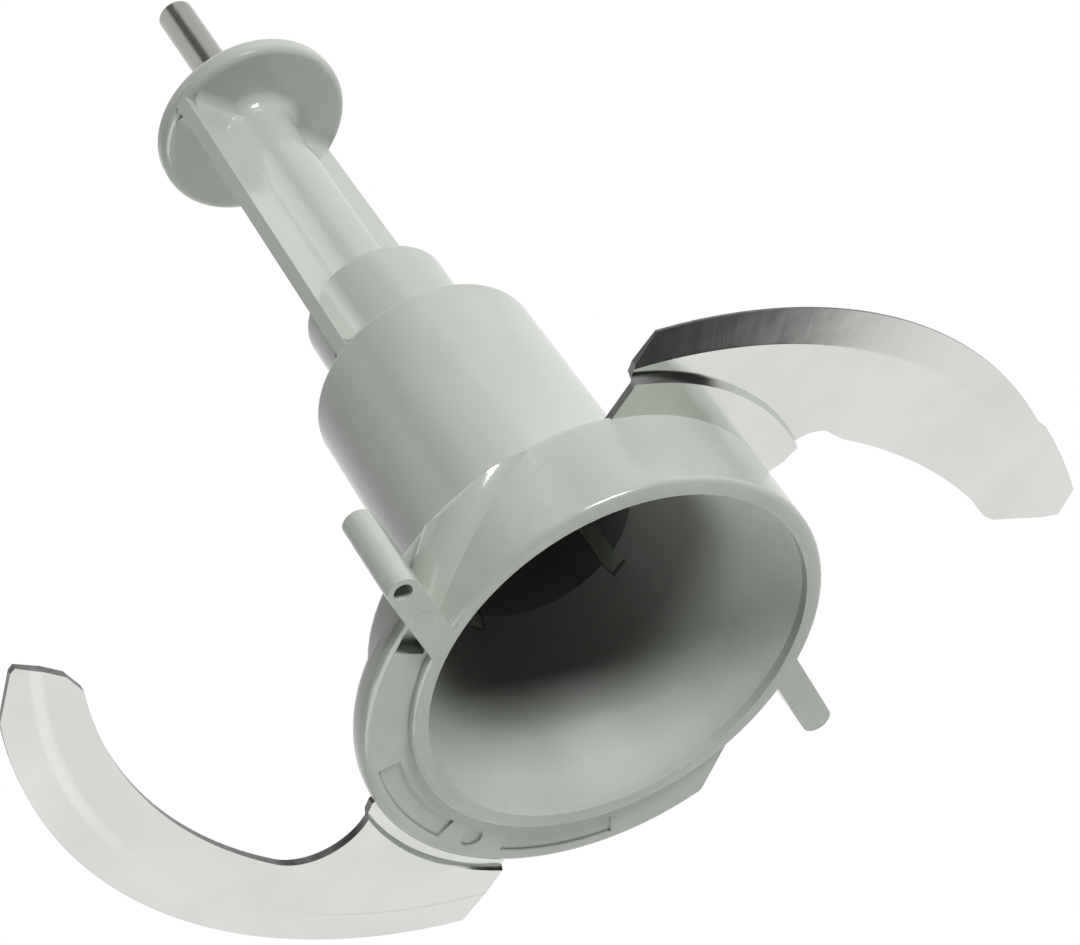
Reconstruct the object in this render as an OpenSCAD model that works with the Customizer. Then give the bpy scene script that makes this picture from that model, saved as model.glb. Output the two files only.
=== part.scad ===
// Food processor blade: a moulded hub with two knife blades moulded into its bell, and a steel pin on top.
// Z is the turning axis, the pin points up, and z = 0 is the rim of the bell, on which the part stands.

/* [Bell] */
// Inside radius of the bell at its rim
bell_r = 29.6; // [28:0.1:31]
// Thickness of the bell's skirt wall
skirt_wall = 2.6; // [2:0.1:4]
// Height of the skirt's straight outer wall
skirt_h = 14.2; // [12:0.1:17]
// Width of the rounding along the skirt's top edge
skirt_round = 1.2; // [0.5:0.1:2]
// Slope of the shoulder between skirt and barrel, in degrees
shoulder_slope = 28; // [15:1:34]

/* [Barrel] */
// Outside radius of the barrel at the foot of its straight wall
barrel_r = 18.8; // [18:0.1:20]
// How much the barrel's radius shrinks up to its top, for draft
barrel_draft = 0.7; // [0.2:0.1:1.2]
// Height of the barrel's flat top above the rim
barrel_top = 64; // [58:0.5:72]
// Thickness of the barrel's wall around the drive socket, at its top
barrel_wall = 2.9; // [2.3:0.1:4.6]
// Height at which the bell's cone runs into the drive socket
cone_top = 27; // [24:0.5:32]
// Height of the drive socket's ceiling above the rim
socket_top = 60; // [52:0.5:61]
// Number of driving grooves along the inside of the socket
groove_count = 4; // [3:1:6]
// Width of one driving groove
groove_w = 3; // [2:0.1:4]
// Depth of one driving groove in the socket's wall
groove_depth = 1.2; // [0.8:0.1:1.4]

/* [Stem] */
// Radius of the round collar on the barrel's top
collar_r = 11.6; // [10:0.1:14]
// Height of the collar's top above the rim
collar_top = 82.4; // [76:0.2:90]
// Radius of the stem's round core
core_r = 5.6; // [4.8:0.1:7]
// Thickness of the flat web that runs through the core
web_t = 2.2; // [1.6:0.1:3.4]
// Half the width of the web under the disc
web_top_r = 15.6; // [12:0.1:15.7]
// Half the width of the web where it stands on the barrel
web_foot_r = 17.4; // [15:0.1:17.6]
// Direction of the web around the axis, in degrees
web_az = 63; // [50:1:80]
// Radius of the long fillets between the web and the core
core_fillet = 4; // [1:0.1:5]
// Radius of the fillets at the disc, the collar and the barrel
stem_fillet = 2.4; // [1:0.1:3.4]

/* [Disc and pin] */
// Radius of the disc under the pin
disc_r = 15.8; // [14:0.1:20]
// Thickness of the disc
disc_t = 3.6; // [2.5:0.1:6]
// Height of the disc's underside above the rim
disc_z = 129; // [120:0.5:140]
// Radius of the rounding on the disc's edges
disc_round = 1.3; // [0.5:0.1:1.7]
// Diameter of the steel pin
pin_d = 6; // [5:0.1:7]
// How far the pin stands out of the disc
pin_out = 30.2; // [20:0.2:40]
// How deep the pin is moulded into the stem
pin_in = 24; // [12:1:36]
// Width of the chamfer at the pin's free end
pin_chamfer = 0.7; // [0.3:0.1:1.2]

/* [Flange] */
// Outside radius of the crescent flange that carries the lower blade
flange_r = 38.8; // [37:0.1:41]
// Height of the flange's underside above the rim
flange_z = 1; // [0.6:0.1:1.5]
// Height of the flange's top above the rim
flange_top = 6; // [5:0.1:8]
// Rounding of the flange's lower edge
flange_low_round = 1.5; // [0.6:0.1:2]
// Rounding of the flange's upper edge
flange_top_round = 2.8; // [1:0.1:3]
// Where the flange begins around the axis, in degrees
flange_from = 76; // [70:1:85]
// Where the flange ends around the axis, under the ear, in degrees
flange_to = 238; // [230:1:240]
// Depth of the bare recessed panels in the flange's underside
panel_depth = 0.4; // [0.2:0.1:0.8]
// Width of the recessed panels across the flange
panel_w = 3.4; // [2:0.1:4]

/* [Ears] */
// Width of each ear, and of the round boss at its end
ear_w = 4.6; // [4:0.1:6]
// Distance of the ears from the centre plane
ear_x = 18.6; // [16:0.1:21]
// Distance of the boss axis along the ear
ear_y = 39; // [36:0.1:42]
// Height of the ears above the rim
ear_h = 14.6; // [12:0.1:16]
// Diameter of the hole in the open boss
boss_d = 2.8; // [2:0.1:3.2]
// Depth of the hole in the open boss
boss_depth = 11; // [6:0.5:13]
// How far the pad beside the open ear swells out of the skirt
pad_out = 2.7; // [1.6:0.1:3.2]
// Rounding of that pad's upper edge
pad_round = 3; // [1:0.1:3.5]

/* [Blades] */
// Radius of the lower blade's cutting edge
lower_edge_r = 78.5; // [74:0.5:82]
// Radius of the upper blade's cutting edge
upper_edge_r = 75.6; // [72:0.4:80]
// Thickness of the blade steel
blade_t = 1.2; // [1:0.1:1.6]
// Height of the lower blade's root above the rim
lower_z = 2.2; // [2:0.1:2.6]
// How much the lower blade drops at its step
lower_step = 0.8; // [0.4:0.1:1]
// Radius of the lower blade's step
lower_step_r = 41.4; // [40.8:0.1:44]
// Height of the upper blade's root above the rim
upper_z = 14.2; // [13:0.1:16]
// How much the upper blade rises at its step
upper_step = 1.4; // [0.8:0.1:3]
// Radius of the upper blade's step
upper_step_r = 38; // [36:0.1:40]
// Width of the ground bevel along the cutting edge
bevel_w = 5.4; // [3:0.1:7]
// Thickness left at the lower blade's cutting edge
lower_edge_t = 0.7; // [0.2:0.05:0.8]
// Thickness left at the upper blade's cutting edge
upper_edge_t = 0.35; // [0.2:0.05:0.8]

/* [Hidden] */
$fn = 96;
cut = 0.5;                                   // overshoot of a cutting solid
rim_round = 0.8;                             // rounding of the rim's outer edge
skirt_r = bell_r + skirt_wall;
shoulder_top_r = skirt_r - skirt_round;
shoulder_low_z = skirt_h + skirt_round;
barrel_foot_z = shoulder_low_z + (shoulder_top_r - barrel_r) * tan(shoulder_slope);
barrel_top_r = barrel_r - barrel_draft;
socket_r = barrel_top_r - barrel_wall;        // inside radius of the drive socket
barrel_round = 0.9;
collar_round = 0.8;
disc_top = disc_z + disc_t;
pin_top = disc_top + pin_out;
pin_r = pin_d / 2;
shank_r = pin_r - 0.4;                       // the part moulded in is a little thinner, the pin's shoulder sits on the disc
flange_shift = [-0.8, 0.7];                  // the flange's outer edge isn't quite true with the bell
step_w = 0.25;                               // half the width of a blade's step
reach = 130;                                 // beyond every blade's tip

// Points on an arc about a centre, from one angle to another
function arc(c, r, a0, a1, n = 24) =
    [for (i = [0:n]) let (a = a0 + (a1 - a0) * i / n) c + r * [cos(a), sin(a)]];

// A point given by its distance from the axis and its angle around it
function polar(r, a) = r * [cos(a), sin(a)];

// One quarter of a round edge: centre, radius and start angle, turning left for a positive sweep
function round_edge(r, z, rad, a0, sweep = 90) = arc([r, z], rad, a0, a0 + sweep, 8);

// Outlines of the two blades in plan, both drawn in the lower blade's direction, in shares of the edge's radius.
// Each runs along the cutting edge from the root's corner to the tip, then back along the inner edge.
function tip(r, k, a) = polar(k * r, a);

lower_edge_c = lower_edge_r * [0.041, -0.415];
lower_inner_c = lower_edge_r * [0.070, -0.448];
lower_inner_r = lower_edge_r * 0.870;
lower_notch_r = lower_edge_r * 0.121;
lower_notch_c = lower_inner_c + polar(lower_inner_r - lower_notch_r, 153.2);
lower_root_r = skirt_r - 1;
lower_points = concat(
    arc(lower_edge_c, lower_edge_r, 124, 201.2, 48),
    [tip(lower_edge_r, 1.194, 226.4), tip(lower_edge_r, 1.19, 227),
     tip(lower_edge_r, 1.139, 226.7), tip(lower_edge_r, 1.092, 226)],
    arc(lower_inner_c, lower_inner_r, 199, 155, 40),
    arc(lower_notch_c, lower_notch_r, 152, 42, 44),
    arc([0, 0], lower_root_r, 187, 138.6, 16),
    [polar(lower_step_r, 139)]);

upper_edge_c = upper_edge_r * [0.061, -0.442];
upper_end_c = upper_edge_r * [0.378, -0.541];
upper_end_r = upper_edge_r * 1.329;
upper_inner_c = upper_edge_r * [0.345, -0.717];
upper_inner_r = upper_edge_r * 1.115;
upper_notch_c = upper_edge_r * [-0.503, -0.1];
upper_notch_r = upper_edge_r * 0.079;
upper_bevel_c = upper_edge_r * [0.124, -0.488];
upper_bevel_r = upper_edge_r * 1.075;
upper_root_r = skirt_r - 7.4;
upper_points = concat(
    arc(upper_edge_c, upper_edge_r, 116.6, 179, 44),
    arc(upper_end_c, upper_end_r, 176.5, 186, 8),
    [tip(upper_edge_r, 1.164, 215.8), tip(upper_edge_r, 1.14, 218.6),
     tip(upper_edge_r, 0.968, 217.6), tip(upper_edge_r, 0.942, 216.7)],
    arc(upper_inner_c, upper_inner_r, 169, 146.5, 30),
    arc(upper_notch_c, upper_notch_r, 140, 62, 30),
    arc([0, 0], upper_root_r, 185, 115, 18),
    [tip(upper_edge_r, 0.418, 122.5), tip(upper_edge_r, 0.492, 127), tip(upper_edge_r, 0.53, 127.5)]);

// A stamped blade: its outline cut from a sheet that steps up or down at one radius and is ground below
module blade(points, bevel_c, bevel_r, edge_t, z, step, step_r) {
    out_z = z + step;
    difference() {
        intersection() {
            linear_extrude(height = 40) polygon(points);
            rotate_extrude() polygon([
                [0, z], [step_r - step_w, z], [step_r + step_w, out_z], [reach, out_z],
                [reach, out_z + blade_t], [step_r + step_w, out_z + blade_t],
                [step_r - step_w, z + blade_t], [0, z + blade_t]]);
        }
        translate([bevel_c[0], bevel_c[1], out_z]) rotate_extrude($fn = 192) polygon([
            [bevel_r - bevel_w, 0], [bevel_r + 1, (blade_t - edge_t) * (1 + 1 / bevel_w)],
            [bevel_r + 1, -cut], [bevel_r - bevel_w, -cut]]);
    }
}

module lower_blade() {
    color([0.86, 0.87, 0.85])
        blade(lower_points, lower_edge_c, lower_edge_r, lower_edge_t, lower_z, -lower_step, lower_step_r);
}

module upper_blade() {
    color([0.86, 0.87, 0.85])
        rotate(180) blade(upper_points, upper_bevel_c, upper_bevel_r, upper_edge_t, upper_z, upper_step, upper_step_r);
}

module top_pin() {
    color([0.62, 0.62, 0.62]) rotate_extrude() polygon([
        [0, disc_z - pin_in], [shank_r, disc_z - pin_in], [shank_r, disc_top], [pin_r, disc_top],
        [pin_r, pin_top - pin_chamfer],
        [pin_r - pin_chamfer, pin_top], [0, pin_top]]);
}

// The turned outline of bell, barrel and collar, solid inside
module bell_body() {
    rotate_extrude() polygon(concat(
        [[0, 0], [skirt_r - rim_round, 0]],
        round_edge(skirt_r - rim_round, rim_round, rim_round, -90),
        round_edge(skirt_r - skirt_round, skirt_h, skirt_round, 0),
        [[barrel_r, barrel_foot_z]],
        round_edge(barrel_top_r - barrel_round, barrel_top - barrel_round, barrel_round, 0),
        arc([collar_r + collar_round, barrel_top + collar_round], collar_round, 270, 180, 6),
        round_edge(collar_r - collar_round, collar_top - collar_round, collar_round, 0),
        [[0, collar_top]]));
}

// The space inside: the bell's cone, then the drive socket with grooves along its wall
module bell_space() {
    rotate_extrude() polygon([
        [0, -cut], [bell_r, -cut], [bell_r, 1.5], [socket_r, cone_top],
        [socket_r, socket_top], [0, socket_top]]);
    for (i = [0:groove_count - 1])
        rotate(i * 360 / groove_count + web_az) translate([socket_r - 2, -groove_w / 2, cone_top - 3])
            cube([groove_depth + 2, groove_w, socket_top - cone_top - 1]);
}

// The stem: round core, flat web and the fillets around them
module stem() {
    cylinder(r = core_r, h = disc_z + 1 - barrel_top + 1);
    rotate([90, 0, 0]) translate([0, 0, -web_t / 2]) linear_extrude(height = web_t) polygon([
        [-web_foot_r, 0], [web_foot_r, 0],
        [web_top_r, disc_z + 1 - barrel_top], [-web_top_r, disc_z + 1 - barrel_top]]);
    // long fillets where the web meets the core and the collar
    for (side = [0, 180], flip = [0, 1]) rotate(side) mirror([0, flip, 0]) {
        linear_extrude(height = disc_z + 1 - barrel_top) side_fillet(core_r, core_fillet);
        linear_extrude(height = collar_top - collar_round - barrel_top) side_fillet(collar_r, stem_fillet);
    }
    // fillets under the disc
    translate([0, 0, disc_z - barrel_top]) mirror([0, 0, 1]) {
        rotate_extrude() translate([core_r, 0]) corner_fillet(stem_fillet);
        web_fillets(min(web_top_r, disc_r - disc_round) - 0.3);
    }
    // fillets on the barrel's top
    web_fillets(web_foot_r - 0.3);
}

// A square corner with a concave round, opening up and to the right
module corner_fillet(r) {
    difference() {
        translate([-0.2, -0.2]) square(r + 0.2);
        translate([r, r]) circle(r);
    }
}

// Concave fillet between the web's face and a round body of radius c on the axis
module side_fillet(c, r) {
    y = web_t / 2 + r;
    x = sqrt(pow(c + r, 2) - y * y);
    difference() {
        polygon([[c - 1, 0], [x, 0], [x, y], [c * x / (c + r), c * y / (c + r)]]);
        translate([x, y]) circle(r);
    }
}

// Fillets along both faces of the web where it stands on a flat
module web_fillets(half) {
    for (flip = [0, 1]) mirror([0, flip, 0])
        translate([-half, web_t / 2, 0]) rotate([90, 0, 90])
            linear_extrude(height = 2 * half) corner_fillet(stem_fillet);
}

module disc() {
    translate([0, 0, disc_z]) rotate_extrude() polygon(concat(
        [[0, 0]], round_edge(disc_r - disc_round, disc_round, disc_round, -90),
        round_edge(disc_r - disc_round, disc_t - disc_round, disc_round, 0), [[0, disc_t]]));
}

// The crescent flange, with the bare panels, the round mark and the recess beside the ear
module flange() {
    panel_mid = (bell_r + flange_r) / 2 + 1.5;
    difference() {
        intersection() {
            translate(flange_shift) rotate_extrude() polygon(concat(
                [[0, flange_z], [flange_r - flange_low_round, flange_z]],
                round_edge(flange_r - flange_low_round, flange_z + flange_low_round, flange_low_round, -90),
                round_edge(flange_r - flange_top_round, flange_top - flange_top_round, flange_top_round, 0),
                [[0, flange_top]]));
            rotate(flange_from) rotate_extrude(angle = flange_to - flange_from)
                translate([bell_r + 0.5, 0]) square([20, flange_top]);
        }
        // the slanted end away from the ear
        translate(concat(polar(flange_r + 0.4, 93), 0)) rotate(-41) translate([-6, 0, -cut])
            cube([40, 20, flange_top + 2 * cut]);
        translate([0, 0, flange_z - cut]) {
            panel(panel_mid, 162.5, 194);
            panel(panel_mid, 114.5, 143.5);
            translate(concat(polar(panel_mid, 153.5), 0)) cylinder(d = panel_w, h = cut + panel_depth);
            rotate(229) rotate_extrude(angle = 8.6) translate([skirt_r + 0.6, 0])
                square([flange_r - skirt_r - 2, cut + 2]);
        }
        // the top falls away towards the ear
        rotate(195) translate([skirt_r - 4, 0, flange_top]) rotate([-5.5, 0, 0])
            translate([-20, 0, 0]) cube([40, 60, 20]);
    }
}

// One recessed panel of the flange between two angles
module panel(mid, from, to) {
    rotate(from) rotate_extrude(angle = to - from) translate([mid - panel_w / 2, 0])
        square([panel_w, cut + panel_depth]);
}

// One ear: a straight wall out of the skirt that ends in a round boss
module ear() {
    hull() {
        translate([ear_x, 22, 0]) cylinder(d = ear_w, h = ear_h);
        translate([ear_x, ear_y, 0]) cylinder(d = ear_w, h = ear_h);
    }
}

// The swelling of the skirt beside the open ear: part of a tilted ring that climbs around the wall
module ear_pad() {
    ring = 5;
    intersection() {
        rotate(264) translate([0, 0, skirt_h + 0.1]) rotate([30, 0, 0])
            rotate_extrude() translate([skirt_r + pad_out - ring, 0]) circle(ring);
        rotate_extrude() polygon(concat(
            [[0, 0], [skirt_r + pad_out, 0]],
            round_edge(skirt_r + pad_out - pad_round, skirt_h - pad_round, pad_round, 0), [[0, skirt_h]]));
        rotate(239) rotate_extrude(angle = 62) translate([skirt_r - 2, 0]) square([8, skirt_h]);
    }
}

module hub() {
    color([0.70, 0.72, 0.69]) difference() {
        union() {
            bell_body();
            rotate(web_az) translate([0, 0, barrel_top]) stem();
            disc();
            flange();
            ear_pad();
            for (side = [0, 180]) rotate(side) ear();
        }
        bell_space();
        lower_blade();
        upper_blade();
        top_pin();
        translate([-ear_x, -ear_y, -cut]) cylinder(d = boss_d, h = boss_depth + cut);
    }
}

hub();
lower_blade();
upper_blade();
top_pin();
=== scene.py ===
import bpy
from mathutils import Matrix, Vector

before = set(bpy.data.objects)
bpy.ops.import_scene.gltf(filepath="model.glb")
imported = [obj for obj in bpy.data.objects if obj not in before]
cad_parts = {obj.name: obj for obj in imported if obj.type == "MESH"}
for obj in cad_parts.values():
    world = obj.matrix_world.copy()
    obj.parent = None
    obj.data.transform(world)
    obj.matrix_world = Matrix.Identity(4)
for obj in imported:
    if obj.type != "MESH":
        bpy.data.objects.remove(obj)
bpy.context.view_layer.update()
bpy.ops.object.select_all(action="DESELECT")
mm = 0.001


# The hub is one injection moulding of pale grey plastic, stiff and glossy. The steel tool leaves it
# smooth, with the faint flow of the plastic away from the gate, and handling leaves hairline scuffs.
class Wire:
    """A shader socket that Python's operators turn into Math nodes."""

    def __init__(self, shade, socket):
        self.shade, self.socket = shade, socket

    def maths(self, operation, *values, clamp=False):
        return self.shade.node("ShaderNodeMath", {"operation": operation, "use_clamp": clamp}, dict(enumerate(values)))

    def __add__(self, other):
        return self.maths("ADD", self, other)

    __radd__ = __add__

    def __mul__(self, other):
        return self.maths("MULTIPLY", self, other)

    __rmul__ = __mul__

    def __sub__(self, other):
        return self.maths("SUBTRACT", self, other)

    def __rsub__(self, other):
        return self.maths("SUBTRACT", other, self)

    def __truediv__(self, other):
        return self.maths("DIVIDE", self, other)

    def __pow__(self, other):
        return self.maths("POWER", self, other)


class Shade:
    """The node tree of one material, or of the world, with the methods that fill it."""

    def __init__(self, tree):
        self.tree = tree
        tree.nodes.clear()

    def node(self, kind, settings=None, sockets=None, output=0):
        made = self.tree.nodes.new(kind)
        for name, value in (settings or {}).items():
            setattr(made, name, value)
        for key, value in (sockets or {}).items():
            if isinstance(value, Wire):
                self.tree.links.new(value.socket, made.inputs[key])
            else:
                made.inputs[key].default_value = value
        return Wire(self, made.outputs[output]) if made.outputs else None

    def vector(self, operation, a, b=(0, 0, 0), output=0):
        return self.node("ShaderNodeVectorMath", {"operation": operation}, {0: a, 1: b}, output)

    def mix(self, factor, a, b):
        return self.node("ShaderNodeMix", {"data_type": "RGBA"}, {0: factor, 6: a, 7: b}, 2)

    def ramp(self, value, low, high):
        return self.node("ShaderNodeMapRange", {"interpolation_type": "SMOOTHSTEP"}, {0: value, 1: low, 2: high})

    def noise(self, place, scale, detail=2.0, rough=0.5):
        return self.node("ShaderNodeTexNoise", None, {"Vector": place, "Scale": scale, "Detail": detail, "Roughness": rough})

    def bump(self, height, distance, strength=1.0, normal=None):
        sockets = {"Strength": strength, "Distance": distance, "Height": height}
        if normal:
            sockets["Normal"] = normal
        return self.node("ShaderNodeBump", None, sockets)


def new_material(name):
    material = bpy.data.materials.new(name)
    material.use_nodes = True
    return material, Shade(material.node_tree)


def close_material(shade, sockets):
    shader = shade.node("ShaderNodeBsdfPrincipled", None, sockets)
    shade.node("ShaderNodeOutputMaterial", None, {"Surface": shader})


def finish_node(node, material):
    """Gives a CAD node its material in every slot."""
    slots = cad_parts[node].data.materials
    slots.clear()
    slots.append(material)


grey_plastic, shade = new_material("grey_plastic")
place = shade.node("ShaderNodeTexCoord", None, None, 3)
east = shade.node("ShaderNodeSeparateXYZ", None, {0: place}, 0)
north = shade.node("ShaderNodeSeparateXYZ", None, {0: place}, 1)
height = shade.node("ShaderNodeSeparateXYZ", None, {0: place}, 2)

# the plastic flowed up the stem and out into the bell, so its faint clouds are long along the axis
clouds = shade.noise(shade.vector("MULTIPLY", place, (1, 1, 0.35)), 55, 3)
grey = shade.mix(shade.ramp(clouds, 0.35, 0.65), (0.405, 0.437, 0.392, 1), (0.452, 0.484, 0.440, 1))
# dust and use dull the inside of the bell and the low edges a little
dust = shade.noise(place, 420, 4, 0.6)
low = shade.ramp(height, 0.012, 0.0)
grey = shade.mix(low * shade.ramp(dust, 0.45, 0.75) * 0.25, grey, (0.34, 0.36, 0.325, 1))

# hairline scuffs run around the axis, where hands and the bowl rub the hub
around = shade.node("ShaderNodeMath", {"operation": "ARCTAN2"}, {0: north, 1: east})
reach = shade.vector("LENGTH", shade.vector("MULTIPLY", place, (1, 1, 0)), output=1)
ring_place = shade.node("ShaderNodeCombineXYZ", None, {0: around * 0.9, 1: height * 260, 2: reach * 260})
scuffs = shade.ramp(shade.noise(ring_place, 6, 4, 0.7), 0.62, 0.72)

# painted shade: the deep inside of the bell and its socket is painted near black, from 9 mm up and fully from 19 mm,
# where little light reaches; that inside is also made rougher and dull
cone_reach = 29.9 * mm - (height - 1.5 * mm) * 0.565
socket_wall = shade.ramp(reach, 15.9 * mm, 15.6 * mm)
inside = shade.node("ShaderNodeMath", {"operation": "MAXIMUM"}, {0: shade.ramp(reach - cone_reach, 0.2 * mm, 0.0), 1: socket_wall * shade.ramp(height, 20 * mm, 24 * mm) * shade.ramp(height, 63.5 * mm, 62 * mm)})
# mix in the near-black painted shade deep inside
grey = shade.mix(inside * shade.ramp(height, 9 * mm, 19 * mm) * 0.8, grey, (0.07, 0.072, 0.066, 1))

# a round mark that an ejector pin of the tool leaves under the ear
mark_away = shade.vector("LENGTH", shade.vector("SUBTRACT", place, (-18.7 * mm, -31.6 * mm, 0)), output=1)
mark_line = shade.ramp(shade.node("ShaderNodeMath", {"operation": "ABSOLUTE"}, {0: mark_away - 1.75 * mm}), 0.22 * mm, 0.05 * mm)

skin = shade.bump(shade.noise(place, 230, 2), 0.05 * mm)
skin = shade.bump(shade.noise(place, 1900, 2), 0.0025 * mm, 1.0, skin)
skin = shade.bump(mark_line, 0.06 * mm, 1.0, skin)
close_material(shade, {
    "Base Color": grey,
    "Roughness": shade.noise(place, 90, 3) * 0.06 + scuffs * 0.05 + low * 0.05 + inside * 0.42 + 0.10,
    "IOR": 1.5,
    "Normal": skin,
})
finish_node("hub", grey_plastic)


# The blades are stamped from stainless sheet, polished all over and ground to an edge from below.
# Polishing leaves hairlines along each blade's curve, grinding leaves them across its bevel.
def blade_material(name, centre, bevel_start, line_strength):
    material, shade = new_material(name)
    place = shade.node("ShaderNodeTexCoord", None, None, 3)
    flat = shade.vector("SUBTRACT", shade.vector("MULTIPLY", place, (1, 1, 0)), (centre[0] * mm, centre[1] * mm, 0))
    out = shade.vector("LENGTH", flat, output=1)
    east = shade.node("ShaderNodeSeparateXYZ", None, {0: flat}, 0)
    north = shade.node("ShaderNodeSeparateXYZ", None, {0: flat}, 1)
    around = shade.node("ShaderNodeMath", {"operation": "ARCTAN2"}, {0: north, 1: east})
    along_lines = shade.noise(shade.node("ShaderNodeCombineXYZ", None, {0: out * 1500, 1: around * 1.6}), 1, 4, 0.65)
    across_lines = shade.noise(shade.node("ShaderNodeCombineXYZ", None, {0: out * 60, 1: around * 150}), 1, 4, 0.65)
    bevel = shade.ramp(out, (bevel_start - 0.4) * mm, (bevel_start + 0.6) * mm)
    lines = along_lines * (1 - bevel) + across_lines * bevel
    clouds = shade.noise(place, 70, 3)
    steel = shade.mix(shade.ramp(clouds, 0.3, 0.7), (0.66, 0.68, 0.645, 1), (0.71, 0.73, 0.695, 1))
    # the grinding wheel leaves a fine dull line where the bevel starts, worn away towards the tip
    from_start = shade.node("ShaderNodeMath", {"operation": "ABSOLUTE"}, {0: out - bevel_start * mm})
    line = shade.ramp(from_start, 0.30 * mm, 0.05 * mm) * shade.ramp(north, 36 * mm, 55 * mm) * line_strength
    steel = shade.mix(line, steel, (0.30, 0.31, 0.29, 1))
    # painted highlight: where the bevel starts, near one end of the blade, the steel is painted brighter for the glint
    # of its rounded corner
    painted_corner_highlight = shade.ramp(from_start, 1.3 * mm, 0.3 * mm) * shade.ramp(east, -38 * mm, -58 * mm) * shade.ramp(north, 14 * mm, -10 * mm)
    # mix in the painted corner highlight
    steel = shade.mix(painted_corner_highlight * 0.6, steel, (0.82, 0.84, 0.805, 1))
    # the sheet's upright edges are made rougher, as the stamping tool leaves them torn, and painted near black:
    # painted shade for the dark reflection these edges show
    upright = shade.node("ShaderNodeSeparateXYZ", None, {0: shade.node("ShaderNodeTexCoord", None, None, 1)}, 2)
    sheared_and_painted_dark = shade.ramp(shade.node("ShaderNodeMath", {"operation": "ABSOLUTE"}, {0: upright}), 0.30, 0.15)
    # mix in the painted dark on the upright edges
    steel = shade.mix(sheared_and_painted_dark * (shade.noise(place, 700, 3) * 0.3 + 0.7), steel, (0.10, 0.10, 0.095, 1))
    close_material(shade, {
        "Base Color": steel,
        "Metallic": 1.0,
        "Roughness": clouds * 0.06 + lines * 0.08 + bevel * 0.04 + sheared_and_painted_dark * 0.22 + 0.06,
        "Normal": shade.bump(lines, 0.0016 * mm, 1.0, shade.bump(clouds, 0.06 * mm)),
    })
    return material


finish_node("lower_blade", blade_material("lower_blade_steel", (3.2, -32.6), 73.1, 0.22))
finish_node("upper_blade", blade_material("upper_blade_steel", (-9.4, 36.9), 75.9, 0.03))

# The pin is drawn steel rod, turned to length and polished, with a chamfer at its free end.
# It is moulded into the stem and turns in the lid's bearing, which leaves fine rings around it.
pin_steel, shade = new_material("pin_steel")
place = shade.node("ShaderNodeTexCoord", None, None, 3)
rings = shade.noise(shade.vector("MULTIPLY", place, (0.02, 0.02, 1)), 2600, 3, 0.6)
clouds = shade.noise(place, 160, 2)
close_material(shade, {
    "Base Color": shade.mix(clouds, (0.325, 0.33, 0.30, 1), (0.39, 0.395, 0.365, 1)),
    "Metallic": 1.0,
    "Roughness": rings * 0.10 + clouds * 0.05 + 0.06,
    "Normal": shade.bump(rings, 0.002 * mm),
})
finish_node("top_pin", pin_steel)


# The floor is a pale sheet under the rim. The photograph looks up from below it,
# so it shows only from above, and light from below passes it.
bpy.ops.mesh.primitive_plane_add(size=3, location=(0, 0, 0))
floor = bpy.context.active_object
floor.name = "floor"
pale_floor, shade = new_material("pale_floor")
seen = shade.node("ShaderNodeLightPath", None, None, 0) * (1 - shade.node("ShaderNodeNewGeometry", None, None, 6))
paper = shade.node("ShaderNodeBsdfDiffuse", None, {"Color": (0.86, 0.86, 0.85, 1)})
clear = shade.node("ShaderNodeBsdfTransparent")
shown = shade.node("ShaderNodeMixShader", None, {0: seen, 1: clear, 2: paper})
shade.node("ShaderNodeOutputMaterial", None, {"Surface": shown})
floor.data.materials.append(pale_floor)

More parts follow.
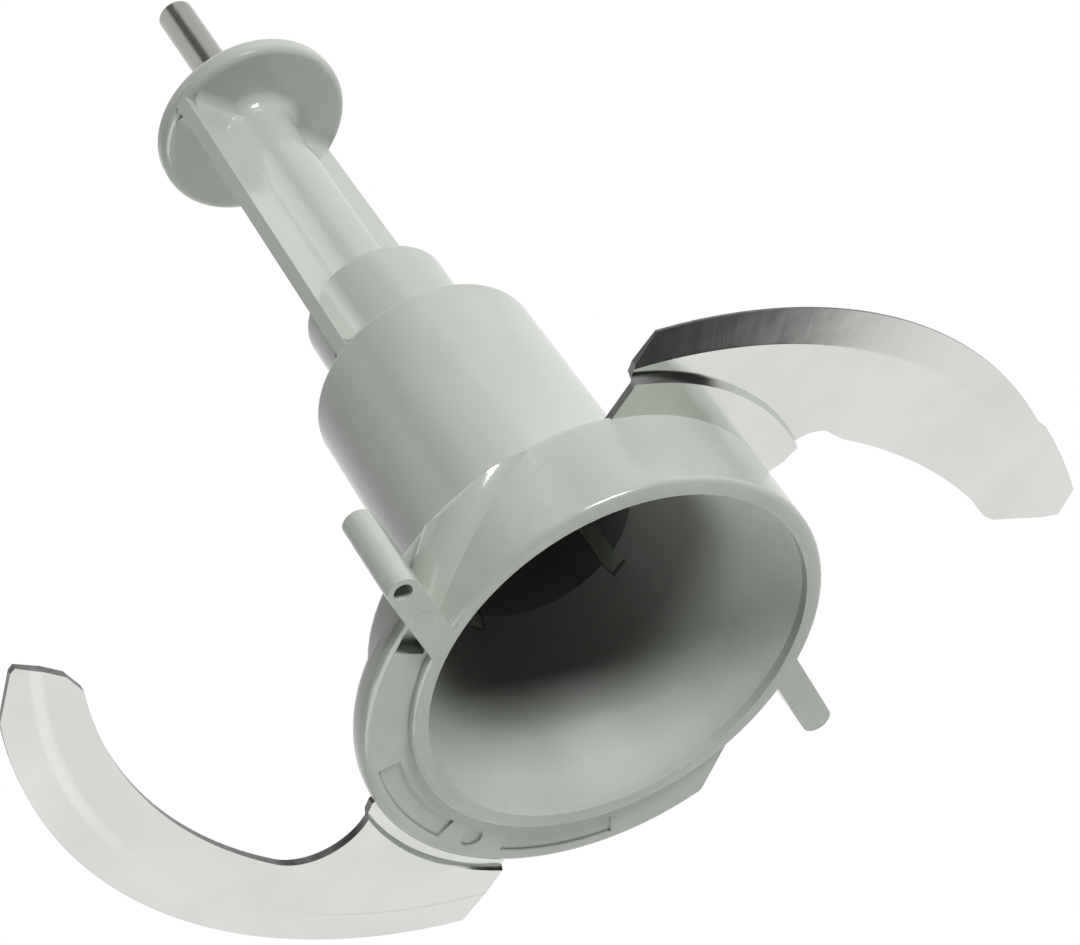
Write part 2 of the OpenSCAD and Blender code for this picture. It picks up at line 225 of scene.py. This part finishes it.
# The camera stands low in front and looks up at the mouth of the bell, turned so that the stem
# runs to the picture's upper left. Its long lens keeps the shape nearly without perspective.
picture_right = Vector((0.822546, 0.359366, -0.440765))
picture_up = Vector((0.568612, -0.533233, 0.626373))
picture_away = picture_right.cross(picture_up) * -1
camera_data = bpy.data.cameras.new("camera")
camera_data.sensor_width = 36
camera_data.lens = 4000 / 1080 * 36
camera_data.clip_start = 0.01
camera = bpy.data.objects.new("camera", camera_data)
bpy.context.scene.collection.objects.link(camera)
camera.matrix_world = Matrix((
    (picture_right.x, picture_up.x, -picture_away.x, 0),
    (picture_right.y, picture_up.y, -picture_away.y, -0.444969),
    (picture_right.z, picture_up.z, -picture_away.z, -0.337215),
    (0, 0, 0, 1)))
bpy.context.scene.camera = camera
bpy.context.scene.view_settings.view_transform = "Standard"


# The light is a photographer's: a white sweep behind the object, a dark room in front of and below
# it, one soft lamp near the camera with a small one beside it for glints, and a softer one below.
world = bpy.data.worlds.new("studio")
bpy.context.scene.world = world
world.use_nodes = True
shade = Shade(world.node_tree)
heading = shade.node("ShaderNodeTexCoord", None, None, 0)
behind = shade.vector("DOT_PRODUCT", heading, tuple(picture_away), 1)
above = shade.vector("DOT_PRODUCT", heading, tuple(picture_up), 1)
room = shade.ramp(behind, -0.005, 0.030) * 0.97 + shade.ramp(above, 0.45, 0.95) * shade.ramp(behind, 0.1, -0.3) * 0.5 + 0.012
camera_ray = shade.node("ShaderNodeLightPath", None, None, 0)
strength = camera_ray + room * (1 - camera_ray)
surface = shade.node("ShaderNodeBackground", None, {"Color": (1, 1, 1, 1), "Strength": strength})
shade.node("ShaderNodeOutputWorld", None, {"Surface": surface})


def add_lamp(name, right, up, away, size, power):
    """A square soft lamp that faces the object, placed along the picture's own directions."""
    data = bpy.data.lights.new(name, "AREA")
    data.size = size
    data.energy = power
    lamp = bpy.data.objects.new(name, data)
    bpy.context.scene.collection.objects.link(lamp)
    aim = Vector((0, 0, 60 * mm))
    lamp.location = aim + picture_right * right + picture_up * up + picture_away * away
    lamp.rotation_mode = "QUATERNION"
    lamp.rotation_quaternion = (aim - lamp.location).to_track_quat("-Z", "Y")


add_lamp("key_lamp", 0.375, 0.71, -0.95, 0.32, 14.0)
add_lamp("glint_lamp", 0.40, 0.72, -0.93, 0.05, 1.1)
add_lamp("low_lamp", 0.0, -0.95, -0.30, 0.6, 5.0)
